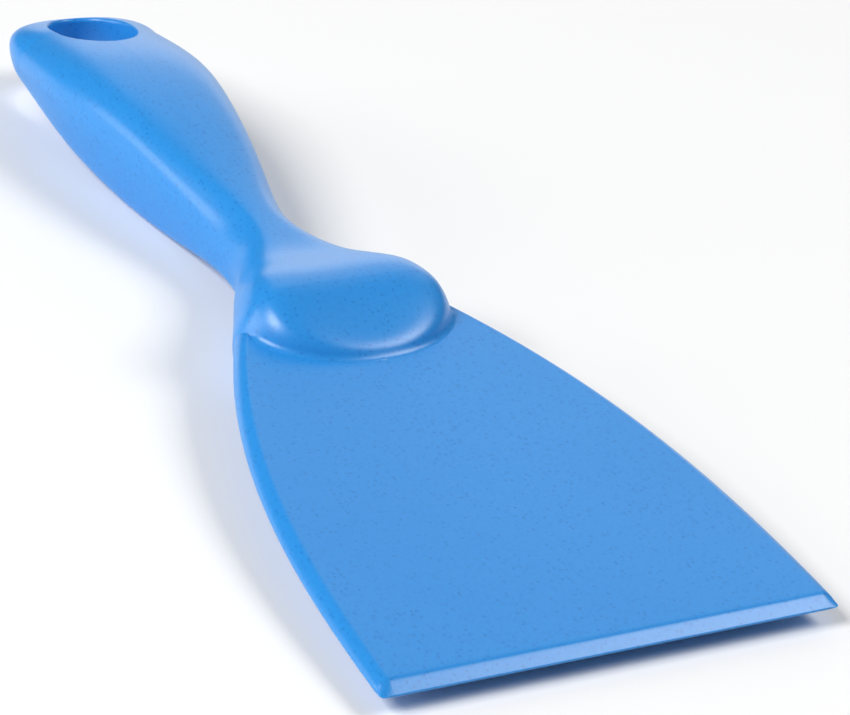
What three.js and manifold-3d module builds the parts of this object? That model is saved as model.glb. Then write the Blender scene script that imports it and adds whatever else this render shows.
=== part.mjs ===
import * as THREE from 'three';
import { mergeVertices } from 'three/addons/utils/BufferGeometryUtils.js';
import Module from 'manifold-3d';

// A hand scraper of moulded plastic: a flared, bevelled blade, and a handle moulded round its tang.
// Millimetres. X runs across the blade, Y from the scraping edge to the hanging end, and Z is up.
// The pieces are drawn with the blade level, then tilted as the tool lies on a flat surface. The
// origin is under the middle of the whole, at its lowest point.

// Blade
const bladeLength = 116.5;
const edgeWidth = 102;
const shoulderWidth = 50;
const edgeThickness = 0.4;
const frontThickness = 3.8;
const shoulderThickness = 7.2;
const bevelLength = 2.8;
const cornerRadius = 1;
const sideRounding = 2.8;
const sidePower = 1.65;
const straightTaperShare = 0.1;
const flarePower = 2.6;

// Tang, inside the handle
const tangLength = 40;
const tangWidth = 24;
const tangTipWidth = 8;
const tangThickness = 3.6;
const windowDiameter = 6;
const windowSpacing = 13;
const windowSetback = 7;
const mouldGap = 0.3;

// Handle
const gripLength = 154;
const endReach = 22.6;
const collarWidth = 50.6;
const collarReach = 21.8;
const collarRise = 12.8;
const bellyDepth = 17.5;
const frontFaceRise = 13;
const frontFaceSlope = 0.43;
const endTopSlope = 0.37;
const endBellySlope = 0.01;
const collarRoundness = 2.05;
const endRoundness = 2.4;
const ridgeSharpness = 10;
const endRidgeSharpness = 5.2;
const sideSharpness = 5;
const softeningShare = 0.46;

// Hanging hole
const holeWidth = 19.8;
const holeLength = 25.6;
const holeSetback = 21.6;
const holeRimRadius = 1.2;

// Sections along the grip, from the collar's crest to where the end starts to round off. Shares of:
// the grip's length, half the collar's width, the collar's rise, half the collar's width, the
// collar's rise, half the collar's width and the belly's depth. They give the place, the top face's
// half-width and height, the side ridge's half-width and height, and the belly's half-width and depth.
const sectionShares = [
  [0.00, 0.74, 1.00, 1.00, 0.00, 0.84, 0.73],
  [0.05, 0.70, 0.87, 0.85, 0.06, 0.69, 0.70],
  [0.12, 0.41, 0.59, 0.62, 0.13, 0.50, 0.61],
  [0.19, 0.22, 0.46, 0.37, 0.10, 0.38, 0.57],
  [0.27, 0.15, 0.41, 0.32, 0.00, 0.34, 0.63],
  [0.40, 0.28, 0.49, 0.45, 0.18, 0.36, 0.88],
  [0.56, 0.41, 0.67, 0.62, 0.34, 0.50, 1.00],
  [0.70, 0.49, 0.62, 0.73, 0.23, 0.62, 0.94],
  [0.86, 0.43, 0.24, 0.70, -0.12, 0.64, 0.81],
];

// Fineness of the surfaces
const ringPoints = 48;
const noseRings = 8;
const gripRings = 34;
const endRings = 7;
const sideSteps = 4;
const cornerSteps = 3;
const plateSteps = 14;
const holePoints = 32;
const rimSteps = 3;
const restPasses = 6;

const wasm = await Module();
wasm.setup();

// Joins rings of equal count into one closed skin, with a fan to a point at each end.
function skin(firstTip, rings, lastTip) {
  const count = rings[0].length;
  const points = [firstTip, ...rings.flat(), lastTip];
  const faces = [];
  const last = points.length - 1;
  const index = (ring, i) => 1 + ring * count + (i % count);
  for (let i = 0; i < count; i++) {
    faces.push(0, index(0, i + 1), index(0, i));
    faces.push(last, index(rings.length - 1, i), index(rings.length - 1, i + 1));
    for (let ring = 0; ring < rings.length - 1; ring++) {
      faces.push(index(ring, i), index(ring, i + 1), index(ring + 1, i));
      faces.push(index(ring, i + 1), index(ring + 1, i + 1), index(ring + 1, i));
    }
  }
  const geometry = new THREE.BufferGeometry().setFromPoints(points);
  geometry.setIndex(faces);
  return geometry;
}

function toSolid(geometry) {
  const bare = geometry.clone();
  bare.deleteAttribute('normal');
  bare.deleteAttribute('uv');
  const merged = mergeVertices(bare);
  const mesh = new wasm.Mesh({
    numProp: 3,
    vertProperties: new Float32Array(merged.attributes.position.array),
    triVerts: new Uint32Array(merged.index.array),
  });
  return new wasm.Manifold(mesh);
}

function toGeometry(solid) {
  const mesh = solid.getMesh();
  const geometry = new THREE.BufferGeometry();
  geometry.setAttribute('position', new THREE.BufferAttribute(mesh.vertProperties, 3));
  geometry.setIndex(new THREE.BufferAttribute(mesh.triVerts, 1));
  return geometry;
}

// A slab's section at one place along Y: flat above and below. Its edges are rounded as
// x^k + z^k = 1, with k a little under 2, which leaves a soft line along the middle of the edge.
function slabRing(place, halfWidth, halfThickness, rounding) {
  const right = [];
  for (let i = 0; i <= 2 * sideSteps; i++) {
    const angle = (Math.PI / 2) * (1 - i / sideSteps);
    const across = Math.abs(Math.cos(angle)) ** (2 / sidePower);
    const up = Math.sign(Math.sin(angle)) * Math.abs(Math.sin(angle)) ** (2 / sidePower);
    const x = halfWidth - rounding + rounding * across;
    right.push(new THREE.Vector3(x, place, halfThickness * up));
  }
  const left = right.map((point) => new THREE.Vector3(-point.x, place, point.z)).reverse();
  return [...right, ...left];
}

function plateHalfThickness(place) {
  const slope = (shoulderThickness - frontThickness) / bladeLength;
  const face = (frontThickness + slope * Math.max(place, bevelLength)) / 2;
  const bevelShare = Math.min(place / bevelLength, 1);
  return THREE.MathUtils.lerp(edgeThickness / 2, face, bevelShare);
}

// The flare narrows from the edge to the shoulder: partly straight, partly as a power of the
// place, with a quarter-round at the edge's corners.
function plateHalfWidth(place) {
  const share = place / bladeLength;
  const narrowing = straightTaperShare * share + (1 - straightTaperShare) * share ** flarePower;
  const flare = THREE.MathUtils.lerp(edgeWidth, shoulderWidth, narrowing) / 2;
  const short = Math.max(cornerRadius - place, 0);
  return flare - cornerRadius + Math.sqrt(cornerRadius ** 2 - short ** 2);
}

// The blade's skin from the scraping edge to the tang's tip, grown by a gap for its pocket.
function bladeSkin(gap) {
  const places = [];
  for (let i = 0; i <= cornerSteps; i++) {
    places.push(cornerRadius * (1 - Math.cos((Math.PI / 2) * (i / cornerSteps))));
  }
  for (let i = 0; i <= plateSteps; i++) {
    places.push(THREE.MathUtils.lerp(bevelLength, bladeLength, i / plateSteps));
  }
  const rings = places.map((place) => {
    const halfThickness = plateHalfThickness(place) + gap;
    const rounding = Math.min(sideRounding, halfThickness);
    const end = place === bladeLength ? gap : 0;
    return slabRing(place + end, plateHalfWidth(place) + gap, halfThickness, rounding);
  });
  const shoulder = bladeLength + gap;
  const tip = bladeLength + tangLength + gap;
  const tangHalfThickness = tangThickness / 2 + gap;
  rings.push(slabRing(shoulder, tangWidth / 2 + gap, tangHalfThickness, tangHalfThickness));
  rings.push(slabRing(tip, tangTipWidth / 2 + gap, tangHalfThickness, tangHalfThickness));
  return skin(new THREE.Vector3(0, 0, 0), rings, new THREE.Vector3(0, tip, 0));
}

// Two posts of the handle's plastic that fill the tang's windows.
function windowPosts(diameter) {
  const height = 2 * collarRise;
  const posts = [-1, 1].map((side) => {
    const post = new THREE.CylinderGeometry(diameter / 2, diameter / 2, height, holePoints);
    post.rotateX(Math.PI / 2);
    post.translate((side * windowSpacing) / 2, bladeLength + windowSetback, 0);
    return toSolid(post);
  });
  return posts[0].add(posts[1]);
}

function makeBlade() {
  return toGeometry(toSolid(bladeSkin(0)).subtract(windowPosts(windowDiameter)));
}

const sectionSizes = [
  gripLength,
  collarWidth / 2,
  collarRise,
  collarWidth / 2,
  collarRise,
  collarWidth / 2,
  bellyDepth,
];
const sectionCurve = new THREE.CubicInterpolant(
  sectionShares.map((row) => row[0] * gripLength),
  sectionShares.flatMap((row) => row.map((share, i) => share * sectionSizes[i])),
  sectionSizes.length,
);

function sectionAt(place) {
  const [, topHalf, top, sideHalf, side, bellyHalf, belly] = sectionCurve.evaluate(place);
  return { place, topHalf, top, sideHalf, side, bellyHalf, belly, middle: (top - belly) / 2 };
}

// The ridges soften from the palm swell to the end.
function sharpnessAt(place) {
  const softening = THREE.MathUtils.smoothstep(place, softeningShare * gripLength, gripLength - endReach);
  return THREE.MathUtils.lerp(ridgeSharpness, endRidgeSharpness, softening);
}

// Joins the shares of neighbouring faces. The result follows the largest share, and rounds the
// ridge from one face to the next: the higher the sharpness, the crisper the ridge.
function joinShares(shares, sharpness) {
  const sum = shares.reduce((total, share) => total + Math.max(share, 0) ** sharpness, 0);
  return sum ** (1 / sharpness);
}

// The skin's point along one direction from a section's middle. The section is a six-sided
// outline of flat faces: top, upper flanks, lower flanks and belly. Ahead of the crest the
// collar's two sloping faces join it. Each face's distance is one over a share of the direction.
// The flanks are joined first, into a softer ridge, and meet further out than the side's
// half-width by as much as the rounding takes off.
function skinPoint(section, direction) {
  const { place, topHalf, top, side, bellyHalf, belly, middle } = section;
  const sideHalf = section.sideHalf * 2 ** (1 / sideSharpness);
  const ahead = Math.max(-direction.y, 0);
  const behind = Math.max(direction.y, 0);
  const roundness = ahead > 0 ? collarRoundness : endRoundness;
  const along = ahead / collarReach + behind / endReach;
  const across = Math.abs(direction.x) / sideHalf;
  const out = sideHalf * (across ** roundness + along ** roundness) ** (1 / roundness);
  const upperSetback = sideHalf - topHalf;
  const lowerSetback = sideHalf - bellyHalf;
  const upperFlank = (top - side) * sideHalf + upperSetback * (side - middle);
  const lowerFlank = (belly + side) * sideHalf - lowerSetback * (side - middle);
  const frontFace = frontFaceRise + frontFaceSlope * place;
  const flanks = [
    ((top - side) * out + upperSetback * direction.z) / upperFlank,
    ((belly + side) * out - lowerSetback * direction.z) / lowerFlank,
  ];
  const faces = [
    (direction.z + endTopSlope * behind) / (top - middle),
    (endBellySlope * behind - direction.z) / (belly + middle),
    joinShares(flanks, sideSharpness),
    (direction.z + frontFaceSlope * ahead) / (frontFace - middle),
    (frontFaceSlope * ahead - direction.z) / (frontFace + middle),
  ];
  const centre = new THREE.Vector3(0, bladeLength + place, middle);
  return centre.addScaledVector(direction, 1 / joinShares(faces, sharpnessAt(place)));
}

// A ring of skin points round a section, tilted ahead (negative) or behind by an angle.
function gripRing(section, tilt) {
  const ring = [];
  for (let i = 0; i < ringPoints; i++) {
    const angle = (2 * Math.PI * i) / ringPoints;
    const direction = new THREE.Vector3(
      Math.sin(angle) * Math.cos(tilt),
      Math.sin(tilt),
      Math.cos(angle) * Math.cos(tilt),
    );
    ring.push(skinPoint(section, direction));
  }
  return ring;
}

function gripSkin() {
  const rings = [];
  const crest = sectionAt(0);
  const end = sectionAt(gripLength - endReach);
  const quarter = Math.PI / 2;
  for (let i = 1; i < noseRings; i++) {
    rings.push(gripRing(crest, quarter * (i / noseRings - 1)));
  }
  for (let i = 0; i <= gripRings; i++) {
    rings.push(gripRing(sectionAt((end.place * i) / gripRings), 0));
  }
  for (let i = 1; i < endRings; i++) {
    rings.push(gripRing(end, (quarter * i) / endRings));
  }
  const nose = skinPoint(crest, new THREE.Vector3(0, -1, 0));
  const tail = skinPoint(end, new THREE.Vector3(0, 1, 0));
  return skin(nose, rings, tail);
}

// Heights of the top face and the belly along the middle, running on straight past the last
// section.
function topAt(place) {
  const past = Math.max(place - (gripLength - endReach), 0);
  return sectionAt(place - past).top - endTopSlope * past;
}

function bellyAt(place) {
  const past = Math.max(place - (gripLength - endReach), 0);
  return endBellySlope * past - sectionAt(place - past).belly;
}

// One oval ring of the hanging hole's cutter, widened by the rim's rounding, at a distance
// outside the top face or the belly.
function holeRing(heightAt, widening, outside) {
  const ring = [];
  const middle = gripLength - holeSetback;
  for (let i = 0; i < holePoints; i++) {
    const angle = (2 * Math.PI * i) / holePoints;
    const x = (holeWidth / 2 + widening) * Math.cos(angle);
    const place = middle + (holeLength / 2 + widening) * Math.sin(angle);
    ring.push(new THREE.Vector3(x, bladeLength + place, heightAt(place) + outside));
  }
  return ring;
}

function holeSkin() {
  const rim = [];
  for (let i = 0; i <= rimSteps; i++) {
    const angle = ((Math.PI / 2) * i) / rimSteps;
    rim.push({
      widening: holeRimRadius * (1 - Math.cos(angle)),
      depth: holeRimRadius * (1 - Math.sin(angle)),
    });
  }
  const upper = rim.map(({ widening, depth }) => holeRing(topAt, widening, -depth));
  const lower = rim.map(({ widening, depth }) => holeRing(bellyAt, widening, depth)).reverse();
  const above = holeRing(topAt, holeRimRadius, holeRimRadius);
  const below = holeRing(bellyAt, holeRimRadius, -holeRimRadius);
  const middle = gripLength - holeSetback;
  const place = bladeLength + middle;
  const firstTip = new THREE.Vector3(0, place, bellyAt(middle) - holeRimRadius);
  const lastTip = new THREE.Vector3(0, place, topAt(middle) + holeRimRadius);
  return skin(firstTip, [below, ...lower, ...upper, above], lastTip);
}

function makeHandle() {
  const pocket = toSolid(bladeSkin(mouldGap)).subtract(windowPosts(windowDiameter - 2 * mouldGap));
  const hole = toSolid(holeSkin());
  return toGeometry(toSolid(gripSkin()).subtract(pocket).subtract(hole));
}

const plastic = { color: 0x3f8fe0, roughness: 0.42, metalness: 0 };
const tool = new THREE.Group();
const shapes = { blade: makeBlade(), handle: makeHandle() };
for (const [name, geometry] of Object.entries(shapes)) {
  const mesh = new THREE.Mesh(geometry, new THREE.MeshStandardMaterial(plastic));
  mesh.name = name;
  tool.add(mesh);
}

// The tilt at which the tool lies on a flat surface, on its lowest points ahead of the neck and
// behind it. A few passes settle which points those are.
function restTilt(points) {
  const neck = bladeLength + collarWidth / 2;
  let tilt = 0;
  for (let pass = 0; pass < restPasses; pass++) {
    const height = (point) => point.y * Math.sin(tilt) + point.z * Math.cos(tilt);
    const lower = (low, point) => (height(point) < height(low) ? point : low);
    const front = points.filter((point) => point.y < neck).reduce(lower);
    const back = points.filter((point) => point.y > neck).reduce(lower);
    tilt = Math.atan2(front.z - back.z, back.y - front.y);
  }
  return tilt;
}

function pointsOf(geometry) {
  const { position } = geometry.attributes;
  return Array.from({ length: position.count }, (_, i) => new THREE.Vector3().fromBufferAttribute(position, i));
}

tool.rotation.x = restTilt(Object.values(shapes).flatMap(pointsOf));
const bounds = new THREE.Box3().setFromObject(tool, true);
const middle = bounds.getCenter(new THREE.Vector3());
tool.position.set(-middle.x, -middle.y, -bounds.min.z);

export default tool;
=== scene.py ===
import math

import bmesh
import bpy
import numpy as np
from mathutils import Matrix, Vector


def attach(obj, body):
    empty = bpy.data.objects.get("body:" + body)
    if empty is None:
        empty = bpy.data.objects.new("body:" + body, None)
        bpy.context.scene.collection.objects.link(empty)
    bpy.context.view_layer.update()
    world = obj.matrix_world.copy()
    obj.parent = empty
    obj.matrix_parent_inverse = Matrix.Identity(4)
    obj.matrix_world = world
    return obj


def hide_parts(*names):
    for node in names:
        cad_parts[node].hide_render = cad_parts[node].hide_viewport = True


bl_info = {
    "name": "Hand scraper",
    "version": (1, 0, 0),
    "blender": (4, 5, 0),
    "location": "3D View > Sidebar > Scraper",
    "description": "Builds a moulded plastic hand scraper round its packed frame",
    "category": "Add Mesh",
}

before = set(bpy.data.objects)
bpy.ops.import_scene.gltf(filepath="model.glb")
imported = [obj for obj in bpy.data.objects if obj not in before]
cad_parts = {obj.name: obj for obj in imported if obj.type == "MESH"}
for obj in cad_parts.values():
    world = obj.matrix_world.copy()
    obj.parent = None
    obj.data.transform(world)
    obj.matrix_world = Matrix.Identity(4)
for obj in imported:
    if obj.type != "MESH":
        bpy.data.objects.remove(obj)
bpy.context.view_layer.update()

MM = 0.001
QUARTER = math.pi / 2.0
TURN = 2.0 * math.pi

# Blade, in millimetres, drawn level: X across, Y from the scraping edge, Z up from its mid-plane
BLADE_LENGTH = 116.5
EDGE_WIDTH = 102.0
SHOULDER_WIDTH = 50.0
EDGE_THICKNESS = 0.4
FRONT_THICKNESS = 3.8
SHOULDER_THICKNESS = 7.2
BEVEL_LENGTH = 2.8
BEVEL_CREASE = 0.45
CORNER_RADIUS = 1.0
SIDE_ROUNDING = 2.8
SIDE_POWER = 1.65
LIP_RADIUS = 0.15
STRAIGHT_TAPER_SHARE = 0.1
FLARE_POWER = 2.6
TANG_LENGTH = 40.0
TANG_WIDTH = 24.0
TANG_TIP_WIDTH = 8.0
TANG_THICKNESS = 3.6

# Handle. Its end starts to close at END_START.
GRIP_LENGTH = 154.0
END_REACH = 22.6
END_START = GRIP_LENGTH - END_REACH
COLLAR_WIDTH = 50.6
COLLAR_REACH = 21.8
COLLAR_RISE = 12.8
BELLY_DEPTH = 17.5
FRONT_FACE_RISE = 13.0
FRONT_FACE_SLOPE = 0.43
END_TOP_SLOPE = 0.37
END_BELLY_SLOPE = 0.01
COLLAR_ROUNDNESS = 2.05
END_ROUNDNESS = 2.4

# How sharp the ridges between two faces are: in general, at the hanging end, at the collar's nose and
# along the sides. The end's softening sets in at this share of the grip.
RIDGE_SHARPNESS = 10.0
END_RIDGE_SHARPNESS = 5.2
NOSE_SHARPNESS = 18.0
SIDE_SHARPNESS = 5.0
SOFTENING_SHARE = 0.46

# The skin lies this far inside its outline, so that it stays within the faceted solid's box.
SKIN_INSET = 0.21

# The foot's hollow runs on this far under the blade's surface.
FOOT_SINK = 0.08

# The collar's widest line is softened over CREST_SOFTENING. The softening comes in between two
# distances from the middle, shares of the collar's width, and dies away between two distances from
# the line. The mean that it takes reaches this many times the softening.
CREST_SOFTENING = 1.5
SOFTENED_FROM = 0.3
SOFTENED_FULLY_FROM = 0.42
SOFTENED_NEAR = 4.5
SOFTENED_UNTIL = 9.0
MEAN_REACH = 3.0

# Hanging hole
HOLE_WIDTH = 19.8
HOLE_LENGTH = 25.6
HOLE_SETBACK = 21.6

# Sections along the grip: the place, then half-width and height of the top face, half-width and
# height of the side ridge, and half-width and depth of the belly. They are shares of the grip's
# length, half the collar's width (every half-width), the collar's rise (both heights) and the
# belly's depth.
SECTION_SHARES = np.array([
    [0.00, 0.74, 1.00, 1.00, 0.00, 0.84, 0.73],
    [0.05, 0.70, 0.87, 0.85, 0.06, 0.69, 0.70],
    [0.12, 0.41, 0.59, 0.62, 0.13, 0.50, 0.61],
    [0.19, 0.22, 0.46, 0.37, 0.10, 0.38, 0.57],
    [0.27, 0.15, 0.41, 0.32, 0.00, 0.34, 0.63],
    [0.40, 0.28, 0.49, 0.45, 0.18, 0.36, 0.88],
    [0.56, 0.41, 0.67, 0.62, 0.34, 0.50, 1.00],
    [0.70, 0.49, 0.62, 0.73, 0.23, 0.62, 0.94],
    [0.86, 0.43, 0.24, 0.70, -0.12, 0.64, 0.81],
])

# Fineness of the blade's surface. The bevel's fine rows run on past its crease to BEVEL_ROWS_END.
# Rows whose places agree to ROW_DECIMALS are one.
END_ROWS = 5
LIP_ROWS = 7
CORNER_ROWS = 13
BEVEL_ROWS = 26
PLATE_ROWS = 150
SIDE_POINTS = 19
FACE_POINTS = 24
BEVEL_ROWS_END = BEVEL_LENGTH + 6.0 * BEVEL_CREASE
ROW_DECIMALS = 5

# Fineness of the handle's surface. Rows crowd towards the nose, as a power of their number, and the
# points of a ring towards the blade's level.
RING_POINTS = 296
FOOT_CROWDING = 0.34
NOSE_RINGS = 90
NOSE_CROWDING = 1.5
GRIP_RINGS = 176
END_RINGS = 44
HOLE_POINTS = 160
RIM_STEPS = 14

# In metres: points nearer than this are merged, and shorter edges are dissolved.
MERGE_DISTANCE = MM / 5000
SHORTEST_EDGE = MM / 10000

# Added to a length before something is divided by it
TINY = 1e-12

# Plastic. The specks' kinds are the cells' spacing and the specks' radius, as shares of the main
# ones, the share of the cells that hold one, and the colour. A speck is full inside SPECK_CORE of
# its radius. Drift and mottling come in between two values of their noise.
PLASTIC_IOR = 1.5
SPECK_KINDS = (
    (1.0, 1.0, 0.45, "speck_colour"),
    (0.62, 0.55, 0.35, "speck_colour"),
    (1.4, 0.7, 0.08, "pale_speck_colour"),
)
SPECK_CORE = 0.1
DRIFT_RANGE = (0.3, 0.7)
MOTTLE_RANGE = (0.5, 0.8)
ROUGHNESS_SPREAD = 0.03

# The photograph's view, in degrees, millimetres and the level tool's own directions
VIEW_AZIMUTH = -33.97
VIEW_ELEVATION = 31.46
VIEW_ROLL = 10.96
VIEW_DISTANCE = 714.6
VIEW_TARGET = (12.13, 100.75, 0.0)
VIEW_LENS = 144.0
SENSOR_WIDTH = 36.0

# Stage, in metres
CLIP_START = 0.01
FLOOR_HALF = 3.0
FLOOR_ROUGHNESS = 0.9
FLOOR_SPECULAR = 0.1

# Softboxes: azimuth and elevation in degrees, distance, width and height in metres, radiance
SOFTBOXES = {
    "left": (-94.0, 43.0, 2.2, 0.9, 0.9, 14.5),
    "left_low": (-66.0, 13.0, 2.2, 1.1, 0.95, 4.3),
    "front_right": (119.0, 48.0, 2.2, 0.85, 0.85, 10.0),
    "back": (36.0, 38.0, 2.4, 1.9, 1.1, 0.9),
    "back_low": (34.0, 9.0, 2.4, 1.7, 1.1, 1.55),
}


def level_frame():
    """The level tool's origin and tilt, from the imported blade: the middle of its scraping end and
    the middle of its tang's tip lie on the level Y axis."""
    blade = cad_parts["blade"].data
    points = np.empty(3 * len(blade.vertices))
    blade.vertices.foreach_get("co", points)
    points = points.reshape(-1, 3)
    front_slice = EDGE_THICKNESS * MM / 8
    back_slice = TANG_THICKNESS * MM / 2
    front = points[points[:, 1] < points[:, 1].min() + front_slice]
    back = points[points[:, 1] > points[:, 1].max() - back_slice]
    start = (front.min(axis=0) + front.max(axis=0)) / 2
    tip = (back.min(axis=0) + back.max(axis=0)) / 2
    tilt = math.atan2(tip[2] - start[2], tip[1] - start[1])
    return Matrix.Translation((0.0, start[1], start[2])) @ Matrix.Rotation(tilt, 4, "X")


LEVEL = level_frame()


def placed(points):
    """Level millimetres turned into the frame's metres: the tilt's turn, then the shift."""
    turn = np.array(LEVEL.to_3x3())
    return points.reshape(-1, 3) * MM @ turn.T + np.array(LEVEL.translation)


def shade_smooth(mesh):
    """Every face of the mesh is shaded smooth."""
    mesh.polygons.foreach_set("use_smooth", np.ones(len(mesh.polygons), dtype=bool))


def tube_faces(rows, columns):
    """Corner numbers of the faces between neighbouring rows of a grid whose columns close up."""
    row, column = np.meshgrid(np.arange(rows - 1), np.arange(columns), indexing="ij")
    after = (column + 1) % columns
    corners = [row * columns + column, row * columns + after,
               (row + 1) * columns + after, (row + 1) * columns + column]
    return np.stack(corners, axis=-1).reshape(-1, 4)


def add_tube(name, points):
    """A mesh object from a grid of level points in millimetres whose columns close up. Points that
    fall on each other are merged, which closes seams and poles."""
    mesh = bpy.data.meshes.new(name)
    mesh.from_pydata(placed(points), [], tube_faces(*points.shape[:2]).tolist())
    build = bmesh.new()
    build.from_mesh(mesh)
    bmesh.ops.remove_doubles(build, verts=build.verts, dist=MERGE_DISTANCE)
    bmesh.ops.dissolve_degenerate(build, edges=build.edges, dist=SHORTEST_EDGE)
    bmesh.ops.recalc_face_normals(build, faces=build.faces)
    build.to_mesh(mesh)
    build.free()
    shade_smooth(mesh)
    piece = bpy.data.objects.new(name, mesh)
    bpy.context.scene.collection.objects.link(piece)
    return piece


def smoothstep(value, low, high):
    """0 below low, 1 above high, and 3t² - 2t³ between them."""
    share = np.clip((value - low) / (high - low), 0.0, 1.0)
    return share * share * (3.0 - 2.0 * share)


def natural_spline(places, values, at):
    """Cubic pieces through the values, with equal slopes and curvatures where they meet and no
    curvature at the ends. The curvatures solve one row of three terms for each inner place."""
    steps = np.diff(places)
    slopes = np.diff(values, axis=0) / steps[:, None]
    count = len(places)
    system = np.eye(count)
    right = np.zeros_like(values)
    inner = np.arange(1, count - 1)
    system[inner, inner - 1] = steps[:-1]
    system[inner, inner] = 2.0 * (steps[:-1] + steps[1:])
    system[inner, inner + 1] = steps[1:]
    right[inner] = 6.0 * np.diff(slopes, axis=0)
    bends = np.linalg.solve(system, right)
    k = np.clip(np.searchsorted(places, at, side="right") - 1, 0, count - 2)
    step = steps[k][..., None]
    past = (at - places[k])[..., None]
    left = step - past
    curve = (bends[k] * left ** 3 + bends[k + 1] * past ** 3) / (6.0 * step)
    line = (values[k] / step - bends[k] * step / 6.0) * left
    return curve + line + (values[k + 1] / step - bends[k + 1] * step / 6.0) * past


def plate_half_width(place):
    """Half the blade's width: it narrows from the edge to the shoulder, partly straight and partly
    as a power of the place, with a quarter-round at the edge's corners."""
    share = np.clip(place, 0.0, None) / BLADE_LENGTH
    narrowing = STRAIGHT_TAPER_SHARE * share + (1.0 - STRAIGHT_TAPER_SHARE) * share ** FLARE_POWER
    flare = (EDGE_WIDTH + (SHOULDER_WIDTH - EDGE_WIDTH) * narrowing) / 2.0
    short = np.clip(CORNER_RADIUS - place, 0.0, CORNER_RADIUS)
    return flare - CORNER_RADIUS + np.sqrt(CORNER_RADIUS ** 2 - short ** 2)


def plate_half_thickness(place):
    """Half the blade's thickness: the smaller of the bevel's line and the face's line, rounded
    where they meet by a smooth minimum, (a + b - sqrt((a - b)² + c²)) / 2."""
    slope = (SHOULDER_THICKNESS - FRONT_THICKNESS) / BLADE_LENGTH / 2.0
    face = FRONT_THICKNESS / 2.0 + slope * place
    crease_height = FRONT_THICKNESS / 2.0 + slope * BEVEL_LENGTH
    bevel_slope = (crease_height - EDGE_THICKNESS / 2.0) / BEVEL_LENGTH
    bevel = EDGE_THICKNESS / 2.0 + bevel_slope * place
    rounding = BEVEL_CREASE * bevel_slope
    return (bevel + face - np.sqrt((bevel - face) ** 2 + rounding ** 2)) / 2.0


def blade_rows():
    """Place, half-width and half-height of the blade's rows, from the middle of the scraping end to
    the middle of the tang's tip. The end is rounded into the bevel by a quarter-circle, which takes
    r - sqrt(r² - (r - y)²) from the height at a place y."""
    lip = LIP_RADIUS * (1.0 - np.cos(np.linspace(0.0, QUARTER, LIP_ROWS)))
    corner = CORNER_RADIUS * (1.0 - np.cos(np.linspace(0.0, QUARTER, CORNER_ROWS)))
    bevel = np.linspace(CORNER_RADIUS, BEVEL_ROWS_END, BEVEL_ROWS)
    plate = np.linspace(BEVEL_ROWS_END, BLADE_LENGTH, PLATE_ROWS)
    places = np.unique(np.round(np.concatenate([lip, corner, bevel, plate]), ROW_DECIMALS))
    half_width = plate_half_width(places)
    back = np.clip(LIP_RADIUS - places, 0.0, LIP_RADIUS)
    half_height = plate_half_thickness(places) - (LIP_RADIUS - np.sqrt(LIP_RADIUS ** 2 - back ** 2))

    end_shares = np.linspace(0.0, 1.0, END_ROWS)[:-1]
    end_width = np.full_like(end_shares, half_width[0])
    tang_place = [BLADE_LENGTH, BLADE_LENGTH + TANG_LENGTH, BLADE_LENGTH + TANG_LENGTH]
    tang_width = np.array([TANG_WIDTH, TANG_TIP_WIDTH, TANG_TIP_WIDTH]) / 2.0
    tang_height = np.array([TANG_THICKNESS, TANG_THICKNESS, 0.0]) / 2.0
    return (np.concatenate([np.zeros_like(end_shares), places, tang_place]),
            np.concatenate([end_width, half_width, tang_width]),
            np.concatenate([end_shares * half_height[0], half_height, tang_height]))


def blade_points():
    """The blade's skin as a grid: rows run along the blade, columns run round the section. A
    section is flat above and below, and its sides are rounded as x^k + z^k = 1, k a little under
    2, which leaves a soft line along the middle of the side."""
    places, half_width, half_height = blade_rows()
    inset = np.minimum(SIDE_ROUNDING, half_width / 2.0)
    side = np.linspace(QUARTER, 0.0, SIDE_POINTS)
    side_across = np.clip(np.cos(side), 0.0, 1.0) ** (2.0 / SIDE_POWER)
    side_up = np.sin(side) ** (2.0 / SIDE_POWER)
    face_across = np.sin(np.linspace(0.0, QUARTER, FACE_POINTS))[:-1]
    across = np.concatenate([np.outer(half_width - inset, face_across),
                             (half_width - inset)[:, None] + np.outer(inset, side_across)], axis=1)
    height = np.outer(half_height, np.concatenate([np.ones_like(face_across), side_up]))
    along = np.broadcast_to(places[:, None], across.shape)
    quarter = np.stack([across, along, height], axis=-1)
    below = quarter[:, -2::-1] * np.array([1.0, 1.0, -1.0])
    right = np.concatenate([quarter, below], axis=1)
    left = right[:, -2:0:-1] * np.array([-1.0, 1.0, 1.0])
    return np.concatenate([right, left], axis=1)


def section_sizes(place):
    """The grip's section at each place, from the spline through the sections: half-width and height
    of the top face, of the side ridge and of the belly, whose height is a depth, and the height of
    the section's middle."""
    half = COLLAR_WIDTH / 2.0
    scale = np.array([half, COLLAR_RISE, half, COLLAR_RISE, half, BELLY_DEPTH])
    places = SECTION_SHARES[:, 0] * GRIP_LENGTH
    sizes = natural_spline(places, SECTION_SHARES[:, 1:] * scale, place)
    top_half, top, side_half, side, belly_half, belly = np.moveaxis(sizes, -1, 0)
    return top_half, top, side_half, side, belly_half, belly, (top - belly) / 2.0


def join_shares(shares, sharpness):
    """(sum of share^p)^(1/p) without the negative shares. It follows the largest share, and rounds
    the ridge from one face to the next."""
    return np.sum(np.clip(np.stack(shares), 0.0, None) ** sharpness, axis=0) ** (1.0 / sharpness)


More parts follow.
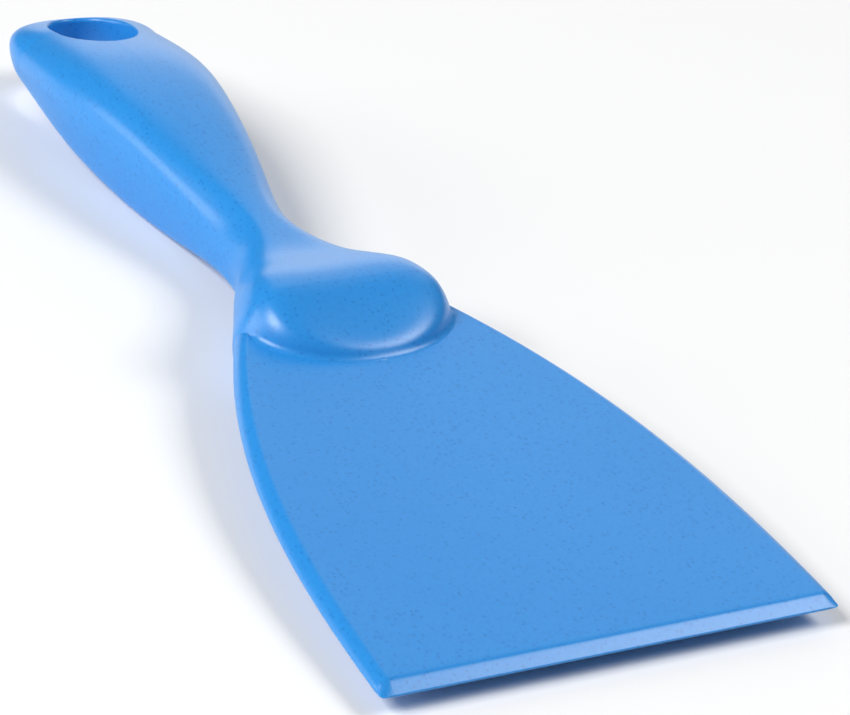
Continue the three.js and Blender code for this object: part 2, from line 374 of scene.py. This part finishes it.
def skin_distance(place, direction):
    """How far the skin lies from a section's middle along a direction. The section is a six-sided
    outline, top, upper flanks, lower flanks and belly, and ahead of the crest the collar's two
    sloping faces join it. Each face's distance is one over a share that is linear in the direction.
    The flanks' shares are joined first, into a softer ridge, for which the side's half-width is
    raised by 2^(1/p), because two equal shares joined with a sharpness p draw it in by as much."""
    top_half, top, side_half, side, belly_half, belly, middle = section_sizes(place)
    side_half = side_half * 2.0 ** (1.0 / SIDE_SHARPNESS)
    x, y, z = np.abs(direction[..., 0]), direction[..., 1], direction[..., 2]
    ahead = np.clip(-y, 0.0, None)
    behind = np.clip(y, 0.0, None)
    softening = smoothstep(place, SOFTENING_SHARE * GRIP_LENGTH, END_START)
    sharpness = (RIDGE_SHARPNESS + (END_RIDGE_SHARPNESS - RIDGE_SHARPNESS) * softening
                 + (NOSE_SHARPNESS - RIDGE_SHARPNESS) * ahead)
    roundness = np.where(ahead > 0.0, COLLAR_ROUNDNESS, END_ROUNDNESS)
    along = ahead / COLLAR_REACH + behind / END_REACH
    out = side_half * ((x / side_half) ** roundness + along ** roundness) ** (1.0 / roundness)
    upper = side_half - top_half
    lower = side_half - belly_half
    face = FRONT_FACE_RISE + FRONT_FACE_SLOPE * place
    flanks = [
        ((top - side) * out + upper * z) / ((top - side) * side_half + upper * (side - middle)),
        ((belly + side) * out - lower * z) / ((belly + side) * side_half - lower * (side - middle)),
    ]
    faces = [
        (z + END_TOP_SLOPE * behind) / (top - middle),
        (END_BELLY_SLOPE * behind - z) / (belly + middle),
        join_shares(flanks, SIDE_SHARPNESS),
        (z + FRONT_FACE_SLOPE * ahead) / (face - middle),
        (FRONT_FACE_SLOPE * ahead - z) / (face + middle),
    ]
    return 1.0 / join_shares(faces, sharpness)


def skin_points(place, direction):
    """Points of the skin: the section's middle plus the distance along each direction, less the
    inset, which dies away towards the sides."""
    middle = section_sizes(place)[-1]
    centre = np.stack([np.zeros_like(place), BLADE_LENGTH + place, middle], axis=-1)
    inset = SKIN_INSET * (1.0 - direction[..., 0] ** 2)
    return centre + direction * (skin_distance(place, direction) - inset)[..., None]


def soften_sides(points, spacing):
    """Rounds the line where the collar is widest: each point near it moves towards the mean of its
    neighbours along the handle, weighted by exp(-d²/2s²) for a distance d and the softening s."""
    width = CREST_SOFTENING / spacing
    reach = math.ceil(MEAN_REACH * width)
    steps = np.arange(-reach, reach + 1)
    weights = np.exp(-0.5 * (steps / width) ** 2)
    weights = weights / weights.sum()
    padded = np.pad(points, ((reach, reach), (0, 0), (0, 0)), mode="edge")
    mean = sum(weight * padded[i:i + len(points)] for i, weight in enumerate(weights))
    from_middle = np.abs(points[..., 0])
    from_line = np.abs(points[..., 1] - BLADE_LENGTH)
    near = smoothstep(from_middle, SOFTENED_FROM * COLLAR_WIDTH, SOFTENED_FULLY_FROM * COLLAR_WIDTH)
    near = near * (1.0 - smoothstep(from_line, SOFTENED_NEAR, SOFTENED_UNTIL))
    return points + (mean - points) * near[..., None]


def foot_fillet(points, radius):
    """Moves the skin outwards, level, where it comes down to the blade, so that a hollow
    quarter-circle joins them: out = r - sqrt(r² - (r - h)²) at a height h above the blade. The
    radius dies away towards the blade's side edges and behind the collar. Outwards is square to the
    collar's plan, (x/a)^k + (y/b)^k = 1."""
    x, y, z = np.moveaxis(points, -1, 0)
    surface = plate_half_thickness(np.minimum(y, BLADE_LENGTH))
    height = np.clip(np.abs(z) - surface + FOOT_SINK, 0.0, None)
    room = plate_half_width(np.clip(y, CORNER_RADIUS, BLADE_LENGTH)) - SIDE_ROUNDING - np.abs(x)
    fade = smoothstep(room, 0.0, 2.0 * radius)
    fade = fade * (1.0 - smoothstep(y, BLADE_LENGTH - radius, BLADE_LENGTH))
    reach = radius * fade
    left = np.clip(reach - height, 0.0, None)
    out = reach - np.sqrt(reach ** 2 - np.minimum(left, reach) ** 2)
    half = COLLAR_WIDTH / 2.0
    ahead = np.clip(BLADE_LENGTH - y, 0.0, None)
    across = np.sign(x) * (np.abs(x) / half) ** (COLLAR_ROUNDNESS - 1.0) / half
    along = -(ahead / COLLAR_REACH) ** (COLLAR_ROUNDNESS - 1.0) / COLLAR_REACH
    size = np.sqrt(across ** 2 + along ** 2) + TINY
    outwards = np.stack([across / size, along / size, np.zeros_like(across)], axis=-1)
    return points + outwards * out[..., None]


def grip_points(fillet_radius):
    """The handle's skin as a grid: rows run from the collar's nose to the hanging end, columns run
    round the section. Rows fan out from the nose to the crest, follow the sections to the end, and
    fan in again to the tail. Rows crowd towards the nose, and columns towards the blade's level,
    where the foot is."""
    step = np.linspace(0.0, TURN, RING_POINTS, endpoint=False)
    angle = step + FOOT_CROWDING * np.sin(2.0 * step)
    nose_shares = np.linspace(0.0, 1.0, NOSE_RINGS, endpoint=False) ** NOSE_CROWDING
    nose = -QUARTER * (1.0 - nose_shares)
    tail = QUARTER * np.linspace(0.0, 1.0, END_RINGS + 1)[1:]
    grip = np.linspace(0.0, END_START, GRIP_RINGS)
    tilt = np.concatenate([nose, np.zeros_like(grip), tail])
    place = np.concatenate([np.zeros_like(nose), grip, np.full_like(tail, grip[-1])])
    tilt, angle = np.meshgrid(tilt, angle, indexing="ij")
    place = np.broadcast_to(place[:, None], tilt.shape)
    across = np.sin(angle) * np.cos(tilt)
    up = np.cos(angle) * np.cos(tilt)
    direction = np.stack([across, np.sin(tilt), up], axis=-1)
    points = soften_sides(skin_points(place, direction), END_START / GRIP_RINGS)
    return foot_fillet(points, fillet_radius)


def face_height(place, upper):
    """Height of the top face or of the belly along the middle, running on straight past the last
    section."""
    past = np.clip(place - END_START, 0.0, None)
    _, top, _, _, _, belly, _ = section_sizes(place - past)
    if upper:
        return top - SKIN_INSET - END_TOP_SLOPE * past
    return SKIN_INSET - belly + END_BELLY_SLOPE * past


def hole_rings(flare, depth, upper):
    """Rings of the hanging hole's cutter, wider than the hole by each flare, at each depth under
    the top face or above the belly."""
    angle = np.linspace(0.0, TURN, HOLE_POINTS, endpoint=False)
    x = np.outer(HOLE_WIDTH / 2.0 + flare, np.cos(angle))
    middle = GRIP_LENGTH - HOLE_SETBACK
    place = middle + np.outer(HOLE_LENGTH / 2.0 + flare, np.sin(angle))
    inwards = -1.0 if upper else 1.0
    z = face_height(place, upper) + inwards * depth[:, None]
    return np.stack([x, BLADE_LENGTH + place, z], axis=-1)


def hole_points(rim_radius):
    """The hanging hole's cutter as a grid: an upright oval tube whose ends flare by a
    quarter-circle at the top face and at the belly, which leaves the rims rounded. It stands out
    of both faces, and closes to a point at each end."""
    turn = np.linspace(0.0, QUARTER, RIM_STEPS)
    flare = np.append(rim_radius * (1.0 - np.cos(turn)), rim_radius)
    depth = np.append(rim_radius * (1.0 - np.sin(turn)), -rim_radius)
    below = hole_rings(flare[::-1], depth[::-1], False)
    above = hole_rings(flare, depth, True)
    tips = [np.broadcast_to(ring.mean(axis=0), ring.shape)[None] for ring in (below[0], above[-1])]
    return np.concatenate([tips[0], below, above, tips[1]])


def apply_cut(piece, cutter):
    """Takes the cutter's shape away from the piece and deletes the cutter."""
    cut = piece.modifiers.new("cut", "BOOLEAN")
    cut.operation = "DIFFERENCE"
    cut.solver = "EXACT"
    cut.object = cutter
    evaluated = piece.evaluated_get(bpy.context.evaluated_depsgraph_get())
    mesh = bpy.data.meshes.new_from_object(evaluated)
    piece.modifiers.clear()
    old = piece.data
    piece.data = mesh
    bpy.data.meshes.remove(old)
    mesh.name = piece.name
    shade_smooth(mesh)
    cutter_mesh = cutter.data
    bpy.data.objects.remove(cutter)
    bpy.data.meshes.remove(cutter_mesh)


def moulded_plastic(name, sizes):
    """Satin plastic: a mid blue that drifts a little over centimetres, with a fine mottling,
    scattered darker specks and a few paler ones, and a fine grain and a slight long waviness in
    its bump."""
    material = bpy.data.materials.new(name)
    material.use_nodes = True
    nodes = material.node_tree.nodes
    links = material.node_tree.links
    shader = nodes["Principled BSDF"]
    shader.inputs["IOR"].default_value = PLASTIC_IOR
    place = nodes.new("ShaderNodeTexCoord")

    def noise(width, detail):
        """Soft noise whose blotches are about as wide as the width."""
        node = nodes.new("ShaderNodeTexNoise")
        node.inputs["Scale"].default_value = 1.0 / width
        node.inputs["Detail"].default_value = detail
        links.new(place.outputs["Object"], node.inputs["Vector"])
        return node.outputs["Fac"]

    def ramp(source, low, high):
        """0 at low and 1 at high, with a soft start and end."""
        node = nodes.new("ShaderNodeMapRange")
        node.interpolation_type = "SMOOTHSTEP"
        node.inputs["From Min"].default_value = low
        node.inputs["From Max"].default_value = high
        links.new(source, node.inputs["Value"])
        return node.outputs["Result"]

    def blend(factor, base, colour):
        """The base, another node's colour, turned into the colour where the factor is 1."""
        node = nodes.new("ShaderNodeMix")
        node.data_type = "RGBA"
        links.new(factor, node.inputs["Factor"])
        links.new(base, node.inputs["A"])
        node.inputs["B"].default_value = colour
        return node.outputs["Result"]

    def specks(spacing, radius, share):
        """Round spots: cells of the given spacing whose middle lies nearer than the radius, kept
        only where the cell's own random value is under the share."""
        cells = nodes.new("ShaderNodeTexVoronoi")
        cells.inputs["Scale"].default_value = 1.0 / spacing
        links.new(place.outputs["Object"], cells.inputs["Vector"])
        spot = ramp(cells.outputs["Distance"], radius / spacing, SPECK_CORE * radius / spacing)
        split = nodes.new("ShaderNodeSeparateColor")
        links.new(cells.outputs["Color"], split.inputs["Color"])
        chosen = nodes.new("ShaderNodeMath")
        chosen.operation = "LESS_THAN"
        chosen.inputs[1].default_value = share
        links.new(split.outputs["Red"], chosen.inputs[0])
        both = nodes.new("ShaderNodeMath")
        both.operation = "MULTIPLY"
        links.new(spot, both.inputs[0])
        links.new(chosen.outputs["Value"], both.inputs[1])
        return both.outputs["Value"]

    def bump(height, depth):
        """A bump of the given depth from a height between 0 and 1."""
        node = nodes.new("ShaderNodeBump")
        node.inputs["Strength"].default_value = 1.0
        node.inputs["Distance"].default_value = depth
        links.new(height, node.inputs["Height"])
        return node

    drift = ramp(noise(sizes.drift_size, detail=2.0), *DRIFT_RANGE)
    mottle = noise(sizes.mottle_size, detail=3.0)
    base = nodes.new("ShaderNodeMix")
    base.data_type = "RGBA"
    links.new(drift, base.inputs["Factor"])
    base.inputs["A"].default_value = sizes.colour
    base.inputs["B"].default_value = sizes.drift_colour
    colour = blend(ramp(mottle, *MOTTLE_RANGE), base.outputs["Result"], sizes.mottle_colour)
    for spacing, radius, share, speck_colour in SPECK_KINDS:
        spots = specks(sizes.speck_spacing * spacing, sizes.speck_size * radius, share)
        colour = blend(spots, colour, getattr(sizes, speck_colour))
    links.new(colour, shader.inputs["Base Color"])

    rough = nodes.new("ShaderNodeMapRange")
    rough.inputs["To Min"].default_value = sizes.roughness - ROUGHNESS_SPREAD
    rough.inputs["To Max"].default_value = sizes.roughness + ROUGHNESS_SPREAD
    links.new(mottle, rough.inputs["Value"])
    links.new(rough.outputs["Result"], shader.inputs["Roughness"])

    grain = bump(noise(sizes.grain_size, detail=2.0), sizes.grain_depth)
    wave = bump(noise(sizes.wave_size, detail=1.0), sizes.wave_depth)
    links.new(grain.outputs["Normal"], wave.inputs["Normal"])
    links.new(wave.outputs["Normal"], shader.inputs["Normal"])
    return material


def length_property(name, description, default):
    """A length in metres."""
    return bpy.props.FloatProperty(
        name=name, description=description, default=default, min=0.0, precision=5, unit="LENGTH")


def colour_property(name, description, default):
    """A colour, given as red, green and blue in linear light."""
    return bpy.props.FloatVectorProperty(
        name=name, description=description, default=(*default, 1.0), size=4, min=0.0, max=1.0,
        subtype="COLOR")


class ScraperShape(bpy.types.PropertyGroup):
    """Small radii of the handle"""

    fillet_radius: length_property(
        "Foot fillet", "Radius of the hollow where the collar meets the blade", 0.0013)
    rim_radius: length_property("Hole rim", "Radius of the hanging hole's rims", 0.0016)


class ScraperPlastic(bpy.types.PropertyGroup):
    """Finish of the moulded plastic"""

    colour: colour_property("Colour", "Main colour of the plastic", (0.023, 0.266, 0.712))
    drift_colour: colour_property(
        "Drift", "Colour that the plastic drifts towards", (0.026, 0.278, 0.732))
    mottle_colour: colour_property("Mottle", "Colour of the faint mottling", (0.018, 0.234, 0.650))
    speck_colour: colour_property(
        "Specks", "Colour of the fine darker specks", (0.014, 0.196, 0.590))
    pale_speck_colour: colour_property(
        "Pale specks", "Colour of the few paler specks", (0.040, 0.29, 0.73))
    roughness: bpy.props.FloatProperty(
        name="Roughness", description="Roughness of the satin surface", default=0.31, min=0.0,
        max=1.0, subtype="FACTOR")
    speck_size: length_property("Speck size", "Radius of the larger specks", 0.0005)
    speck_spacing: length_property("Speck spacing", "Size of the cells that may hold a speck", 0.0013)
    mottle_size: length_property("Mottle size", "Width of the faint mottling", 0.0009)
    drift_size: length_property("Drift size", "Width of the slow drift in colour", 0.05)
    grain_size: length_property("Grain size", "Width of the moulded surface's fine grain", 0.0006)
    grain_depth: length_property(
        "Grain depth", "Depth of the moulded surface's fine grain", 0.000012)
    wave_size: length_property("Wave size", "Width of the slight waviness", 0.02)
    wave_depth: length_property("Wave depth", "Depth of the slight waviness", 0.00008)


class ScraperStage(bpy.types.PropertyGroup):
    """Floor and lights"""

    floor_colour: colour_property("Floor", "Colour of the plain floor", (0.95, 0.95, 0.95))
    backdrop_colour: colour_property("Backdrop", "Colour seen past the floor", (0.95, 0.95, 0.95))
    ambient: bpy.props.FloatProperty(
        name="Ambient", description="Strength of the even surrounding light", default=0.08, min=0.0)


def finish(piece, node, material):
    """Gives a finished piece its material and body, and hides the imported part that it stands in
    for.
    """
    piece.data.materials.clear()
    piece.data.materials.append(material)
    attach(piece, "root")
    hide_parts(node)


class SCRAPER_OT_blade(bpy.types.Operator):
    """Adds the flared, bevelled blade with its tang"""

    bl_idname = "scraper.blade"
    bl_label = "Blade"

    def execute(self, context):
        piece = add_tube("moulded_blade", blade_points())
        material = moulded_plastic("blade_plastic", context.scene.scraper_plastic)
        finish(piece, "blade", material)
        return {"FINISHED"}


class SCRAPER_OT_handle(bpy.types.Operator):
    """Adds the collared grip with its hanging hole"""

    bl_idname = "scraper.handle"
    bl_label = "Handle"

    def execute(self, context):
        shape = context.scene.scraper_shape
        piece = add_tube("moulded_handle", grip_points(shape.fillet_radius / MM))
        apply_cut(piece, add_tube("hole_cutter", hole_points(shape.rim_radius / MM)))
        material = moulded_plastic("handle_plastic", context.scene.scraper_plastic)
        finish(piece, "handle", material)
        return {"FINISHED"}


def add_floor(sizes):
    """A plain matt square under the tool."""
    corners = FLOOR_HALF * np.array([[-1, -1, 0], [1, -1, 0], [1, 1, 0], [-1, 1, 0]])
    mesh = bpy.data.meshes.new("floor")
    mesh.from_pydata(corners, [], [[0, 1, 2, 3]])
    floor = bpy.data.objects.new("floor", mesh)
    bpy.context.scene.collection.objects.link(floor)
    material = bpy.data.materials.new("floor_paint")
    material.use_nodes = True
    shader = material.node_tree.nodes["Principled BSDF"]
    shader.inputs["Base Color"].default_value = sizes.floor_colour
    shader.inputs["Roughness"].default_value = FLOOR_ROUGHNESS
    shader.inputs["Specular IOR Level"].default_value = FLOOR_SPECULAR
    mesh.materials.append(material)


def add_surroundings(sizes):
    """A dim even surround for the lighting, behind which the camera sees a plain pale backdrop."""
    world = bpy.data.worlds.new("studio")
    world.use_nodes = True
    nodes = world.node_tree.nodes
    links = world.node_tree.links
    dim = nodes["Background"]
    dim.inputs["Color"].default_value = (1.0, 1.0, 1.0, 1.0)
    dim.inputs["Strength"].default_value = sizes.ambient
    backdrop = nodes.new("ShaderNodeBackground")
    backdrop.inputs["Color"].default_value = sizes.backdrop_colour
    path = nodes.new("ShaderNodeLightPath")
    mix = nodes.new("ShaderNodeMixShader")
    links.new(path.outputs["Is Camera Ray"], mix.inputs["Fac"])
    links.new(dim.outputs["Background"], mix.inputs[1])
    links.new(backdrop.outputs["Background"], mix.inputs[2])
    links.new(mix.outputs["Shader"], nodes["World Output"].inputs["Surface"])
    bpy.context.scene.world = world


def add_softbox(name, azimuth, elevation, distance, width, height, radiance):
    """A soft rectangular lamp that faces the tool from a direction. Azimuth 0 is behind the
    hanging end and 90 is on the +X side, in degrees. Its power is radiance times pi times area."""
    data = bpy.data.lights.new(name, "AREA")
    data.shape = "RECTANGLE"
    data.size = width
    data.size_y = height
    data.energy = radiance * math.pi * width * height
    lamp = bpy.data.objects.new(name, data)
    turn, rise = math.radians(azimuth), math.radians(elevation)
    level = math.cos(rise)
    away = Vector((math.sin(turn) * level, math.cos(turn) * level, math.sin(rise)))
    lamp.location = away * distance
    lamp.rotation_euler = away.to_track_quat("Z", "Y").to_euler()
    lamp.visible_camera = False
    bpy.context.scene.collection.objects.link(lamp)


def add_camera():
    """The camera at the photograph's view. Its directions are worked out for the level tool, with
    the roll about the line of sight, and then turned with the tool's tilt."""
    azimuth, elevation, roll = map(math.radians, (VIEW_AZIMUTH, VIEW_ELEVATION, VIEW_ROLL))
    back = Vector((math.sin(azimuth) * math.cos(elevation),
                   -math.cos(azimuth) * math.cos(elevation), math.sin(elevation)))
    level_right = Vector((math.cos(azimuth), math.sin(azimuth), 0.0))
    level_up = back.cross(level_right)
    right = math.cos(roll) * level_right + math.sin(roll) * level_up
    up = back.cross(right)
    place = (Vector(VIEW_TARGET) + VIEW_DISTANCE * back) * MM
    pose = Matrix((right, up, back)).transposed().to_4x4()
    data = bpy.data.cameras.new("camera")
    data.lens = VIEW_LENS
    data.sensor_width = SENSOR_WIDTH
    data.clip_start = CLIP_START
    camera = bpy.data.objects.new("camera", data)
    camera.matrix_world = LEVEL @ Matrix.Translation(place) @ pose
    bpy.context.scene.collection.objects.link(camera)
    bpy.context.scene.camera = camera


class SCRAPER_OT_stage(bpy.types.Operator):
    """Adds the plain floor, the soft lights and the camera"""

    bl_idname = "scraper.stage"
    bl_label = "Stage"

    def execute(self, context):
        sizes = context.scene.scraper_stage
        add_floor(sizes)
        add_surroundings(sizes)
        for name, settings in SOFTBOXES.items():
            add_softbox(name, *settings)
        add_camera()
        context.scene.view_settings.view_transform = "Standard"
        return {"FINISHED"}


class SCRAPER_PT_panel(bpy.types.Panel):
    """Lists the scraper's pieces and sizes"""

    bl_idname = "SCRAPER_PT_panel"
    bl_label = "Hand scraper"
    bl_space_type = "VIEW_3D"
    bl_region_type = "UI"
    bl_category = "Scraper"

    def draw(self, context):
        for operator in OPERATORS:
            self.layout.operator(operator.bl_idname)
        for group_name in GROUPS:
            group = getattr(context.scene, group_name)
            box = self.layout.box()
            for name in group.bl_rna.properties.keys():
                if name not in {"rna_type", "name"}:
                    box.prop(group, name)


OPERATORS = (SCRAPER_OT_blade, SCRAPER_OT_handle, SCRAPER_OT_stage)
GROUPS = {
    "scraper_shape": ScraperShape,
    "scraper_plastic": ScraperPlastic,
    "scraper_stage": ScraperStage,
}


def register():
    for cls in (*GROUPS.values(), *OPERATORS, SCRAPER_PT_panel):
        bpy.utils.register_class(cls)
    for name, group in GROUPS.items():
        setattr(bpy.types.Scene, name, bpy.props.PointerProperty(type=group))


def unregister():
    for name in GROUPS:
        delattr(bpy.types.Scene, name)
    for cls in (SCRAPER_PT_panel, *OPERATORS, *GROUPS.values()):
        bpy.utils.unregister_class(cls)


def main():
    register()
    bpy.ops.scraper.blade()
    bpy.ops.scraper.handle()
    bpy.ops.scraper.stage()
    bpy.context.view_layer.update()


if __name__ == "__main__":
    main()
